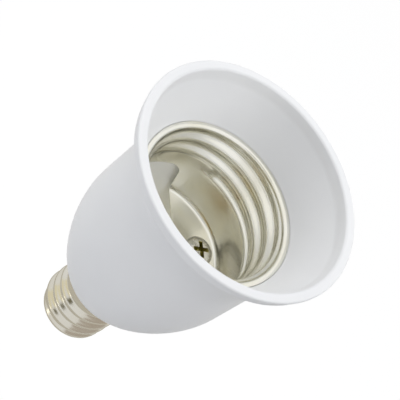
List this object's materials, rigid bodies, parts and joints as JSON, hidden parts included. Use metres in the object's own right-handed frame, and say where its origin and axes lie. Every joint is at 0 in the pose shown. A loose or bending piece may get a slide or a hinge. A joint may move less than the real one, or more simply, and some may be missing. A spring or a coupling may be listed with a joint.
{
  "type": "lamp socket adapter",
  "caption": "White flared bell with a small screw plug below and a larger screw lamp socket in its mouth, so that a larger-cap lamp fits a smaller lampholder.",
  "frame": {"origin": "on the axis, at the body's shoulder where the plug's collar seats", "axes": "+Z along the axis, out of the socket's mouth; +Y towards the socket shell's lug"},
  "size_m": [0.0404, 0.0404, 0.0612],
  "materials": {
    "white_moulding": "semi-gloss moulded white",
    "plated_shell": "bright nickel plate on brass",
    "zinc_screw": "plated steel",
    "spring_brass": "rolled spring brass",
    "plated_tip": "nickel plate on brass",
    "brown_lead": "matt insulation",
    "blue_lead": "matt insulation"
  },
  "bodies": {
    "adapter": {"body": "white_moulding", "socket_shell": "plated_shell", "plug_shell": "plated_shell", "shell_screw": "zinc_screw", "contact_screw": "zinc_screw", "tip_contact": "plated_tip", "centre_lead": "brown_lead", "shell_lead": "blue_lead"},
    "contact": {"centre_contact": "spring_brass"}
  },
  "joints": [
    {"name": "contact_flex", "type": "hinge", "parent": "adapter", "child": "contact", "pos_m": [0, -0.0049, 0.01635], "axis": [-1, 0, 0], "range_deg": [0, 12], "stiffness_Nm_per_rad": 0.18, "deforming": ["centre_contact"]}
  ]
}
